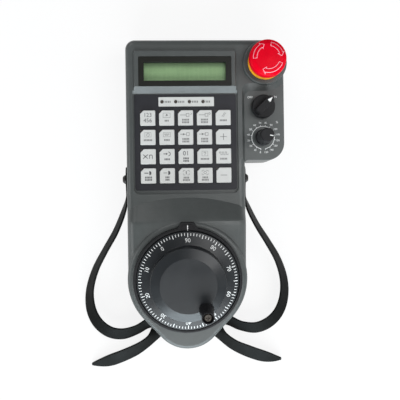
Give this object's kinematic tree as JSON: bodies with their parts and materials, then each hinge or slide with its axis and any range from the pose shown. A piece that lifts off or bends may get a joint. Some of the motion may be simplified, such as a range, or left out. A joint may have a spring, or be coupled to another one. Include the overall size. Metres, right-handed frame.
{
  "type": "pulse generator handwheel",
  "caption": "Hand-held machine pendant with a graduated pulse handwheel, display, keypad, stop button, two rotary knobs and two hanging straps.",
  "frame": {"origin": "in the flat rear rest face, on the centre line of the main body and at the middle of the rest face's length", "axes": "+Z leaves the key side, +Y runs from the handwheel towards the display end, +X towards the side wing"},
  "size_m": [0.1715, 0.2765, 0.0837],
  "materials": {
    "case_grey": "fine moulded texture",
    "sheet_black": "satin",
    "key_white": "satin",
    "rubber_black": "matte",
    "black_plastic": "satin",
    "lamp_dark": "gloss",
    "pane_glass": "clear",
    "display_green": "gloss",
    "board_green": "gloss",
    "stop_red": "gloss",
    "stop_yellow": "gloss",
    "steel": "plated",
    "screw_black": "blackened"
  },
  "bodies": {
    "case": {"front_case": "case_grey", "rear_case": "case_grey", "case_seal": "rubber_black", "case_screws": "screw_black", "keypad_overlay": "sheet_black", "key_leds": "lamp_dark", "keypad_mat": "rubber_black", "keypad_board": "board_green", "status_strip": "key_white", "status_leds": "lamp_dark", "lcd_window": "pane_glass", "lcd_module": "display_green", "main_board": "board_green", "estop_collar": "stop_yellow", "estop_housing": "black_plastic", "estop_nut": "black_plastic", "selector_switch": "black_plastic", "selector_nut": "steel", "override_switch": "black_plastic", "override_nut": "steel", "wheel_flange": "black_plastic", "encoder_housing": "black_plastic", "encoder_board": "board_green", "shaft_bearings": "steel", "strap_left": "rubber_black", "strap_right": "rubber_black", "strap_studs": "screw_black", "strap_guide": "black_plastic", "guide_screws": "screw_black", "cable_gland": "black_plastic", "gland_nut": "black_plastic"},
    "handwheel": {"wheel_dial": "black_plastic", "wheel_shaft": "steel", "encoder_disc": "steel", "crank_screw": "screw_black"},
    "crank": {"crank_knob": "black_plastic"},
    "estop_plunger": {"estop_stem": "black_plastic"},
    "estop_button": {"estop_cap": "stop_red"},
    "selector": {"selector_knob": "black_plastic"},
    "override": {"override_knob": "black_plastic"},
    "button_01": {"key_01": "key_white"},
    "button_02": {"key_02": "key_white"},
    "button_03": {"key_03": "key_white"},
    "button_04": {"key_04": "key_white"},
    "button_05": {"key_05": "key_white"},
    "button_06": {"key_06": "key_white"},
    "button_07": {"key_07": "key_white"},
    "button_08": {"key_08": "key_white"},
    "button_09": {"key_09": "key_white"},
    "button_10": {"key_10": "key_white"},
    "button_11": {"key_11": "key_white"},
    "button_12": {"key_12": "key_white"},
    "button_13": {"key_13": "key_white"},
    "button_14": {"key_14": "key_white"},
    "button_15": {"key_15": "key_white"},
    "button_16": {"key_16": "key_white"},
    "button_17": {"key_17": "key_white"},
    "button_18": {"key_18": "key_white"},
    "button_19": {"key_19": "key_white"},
    "button_20": {"key_20": "key_white"}
  },
  "joints": [
    {"name": "wheel_spin", "type": "hinge", "parent": "case", "child": "handwheel", "pos_m": [0, -0.1115, 0.05], "axis": [0, -0.1736, 0.9848], "continuous": true},
    {"name": "crank_spin", "type": "hinge", "parent": "handwheel", "child": "crank", "pos_m": [0.0137, -0.13006, 0.04673], "axis": [0, -0.1736, 0.9848], "continuous": true},
    {"name": "estop_push", "type": "slide", "parent": "case", "child": "estop_plunger", "axis": [0, 0, -1], "range_m": [0, 0.004]},
    {"name": "estop_twist", "type": "hinge", "parent": "estop_plunger", "child": "estop_button", "pos_m": [0.0638, 0.0602, 0.058], "axis": [0, 0, -1], "range_deg": [0, 45], "stiffness_Nm_per_rad": 0.01},
    {"name": "selector_turn", "type": "hinge", "parent": "case", "child": "selector", "pos_m": [0.0622, 0.0253, 0.043], "axis": [0, 0, 1], "range_deg": [0, 90]},
    {"name": "override_turn", "type": "hinge", "parent": "case", "child": "override", "pos_m": [0.0622, 0.0008, 0.043], "axis": [0, 0, 1], "range_deg": [-67.5, 270]},
    {"name": "key_01_press", "type": "slide", "parent": "case", "child": "button_01", "axis": [0, 0, -1], "range_m": [0, 0.0008], "stiffness_N_per_m": 300},
    {"name": "key_02_press", "type": "slide", "parent": "case", "child": "button_02", "axis": [0, 0, -1], "range_m": [0, 0.0008], "stiffness_N_per_m": 300},
    {"name": "key_03_press", "type": "slide", "parent": "case", "child": "button_03", "axis": [0, 0, -1], "range_m": [0, 0.0008], "stiffness_N_per_m": 300},
    {"name": "key_04_press", "type": "slide", "parent": "case", "child": "button_04", "axis": [0, 0, -1], "range_m": [0, 0.0008], "stiffness_N_per_m": 300},
    {"name": "key_05_press", "type": "slide", "parent": "case", "child": "button_05", "axis": [0, 0, -1], "range_m": [0, 0.0008], "stiffness_N_per_m": 300},
    {"name": "key_06_press", "type": "slide", "parent": "case", "child": "button_06", "axis": [0, 0, -1], "range_m": [0, 0.0008], "stiffness_N_per_m": 300},
    {"name": "key_07_press", "type": "slide", "parent": "case", "child": "button_07", "axis": [0, 0, -1], "range_m": [0, 0.0008], "stiffness_N_per_m": 300},
    {"name": "key_08_press", "type": "slide", "parent": "case", "child": "button_08", "axis": [0, 0, -1], "range_m": [0, 0.0008], "stiffness_N_per_m": 300},
    {"name": "key_09_press", "type": "slide", "parent": "case", "child": "button_09", "axis": [0, 0, -1], "range_m": [0, 0.0008], "stiffness_N_per_m": 300},
    {"name": "key_10_press", "type": "slide", "parent": "case", "child": "button_10", "axis": [0, 0, -1], "range_m": [0, 0.0008], "stiffness_N_per_m": 300},
    {"name": "key_11_press", "type": "slide", "parent": "case", "child": "button_11", "axis": [0, 0, -1], "range_m": [0, 0.0008], "stiffness_N_per_m": 300},
    {"name": "key_12_press", "type": "slide", "parent": "case", "child": "button_12", "axis": [0, 0, -1], "range_m": [0, 0.0008], "stiffness_N_per_m": 300},
    {"name": "key_13_press", "type": "slide", "parent": "case", "child": "button_13", "axis": [0, 0, -1], "range_m": [0, 0.0008], "stiffness_N_per_m": 300},
    {"name": "key_14_press", "type": "slide", "parent": "case", "child": "button_14", "axis": [0, 0, -1], "range_m": [0, 0.0008], "stiffness_N_per_m": 300},
    {"name": "key_15_press", "type": "slide", "parent": "case", "child": "button_15", "axis": [0, 0, -1], "range_m": [0, 0.0008], "stiffness_N_per_m": 300},
    {"name": "key_16_press", "type": "slide", "parent": "case", "child": "button_16", "axis": [0, 0, -1], "range_m": [0, 0.0008], "stiffness_N_per_m": 300},
    {"name": "key_17_press", "type": "slide", "parent": "case", "child": "button_17", "axis": [0, 0, -1], "range_m": [0, 0.0008], "stiffness_N_per_m": 300},
    {"name": "key_18_press", "type": "slide", "parent": "case", "child": "button_18", "axis": [0, 0, -1], "range_m": [0, 0.0008], "stiffness_N_per_m": 300},
    {"name": "key_19_press", "type": "slide", "parent": "case", "child": "button_19", "axis": [0, 0, -1], "range_m": [0, 0.0008], "stiffness_N_per_m": 300},
    {"name": "key_20_press", "type": "slide", "parent": "case", "child": "button_20", "axis": [0, 0, -1], "range_m": [0, 0.0008], "stiffness_N_per_m": 300}
  ]
}
